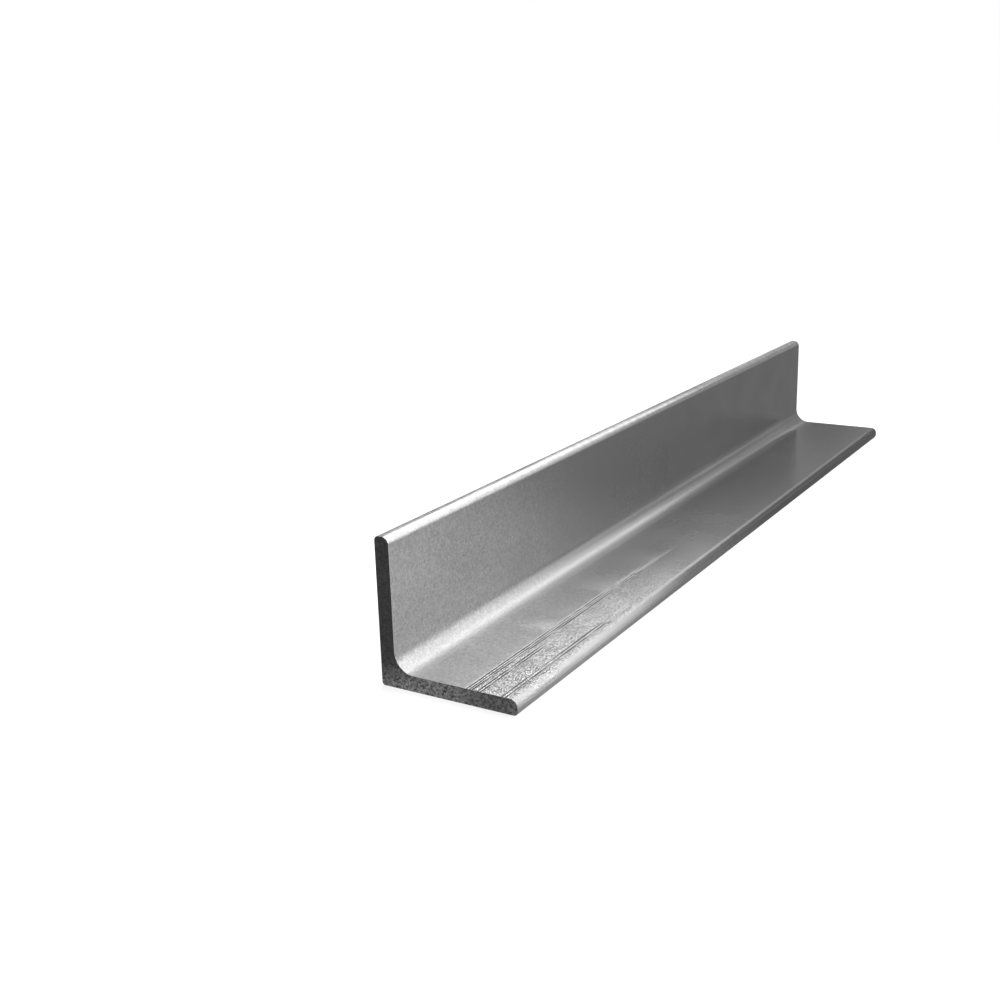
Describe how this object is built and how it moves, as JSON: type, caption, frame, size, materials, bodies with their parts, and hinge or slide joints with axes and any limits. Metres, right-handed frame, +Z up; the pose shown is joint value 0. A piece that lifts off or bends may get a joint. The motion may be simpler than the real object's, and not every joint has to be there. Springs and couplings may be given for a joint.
{
  "type": "metal angle section",
  "caption": "Equal-leg rolled metal angle section with parallel legs, a filleted root, rounded toes and square-cut ends, lying on one leg.",
  "frame": {"origin": "middle of the bar's length, on the floor, under the middle of the flat leg", "axes": "+Z up, +X across the flat leg from the heel to its toe, +Y along the bar away from the end that faces the picture"},
  "size_m": [0.065, 0.5, 0.065],
  "materials": {
    "rolled_steel": "hot-rolled and pickled stainless steel: silvery, fine blasted grain, drawn roll lines by the toe, dull sawn ends"
  },
  "bodies": {
    "root": {"angle_bar": "rolled_steel"}
  },
  "joints": []
}
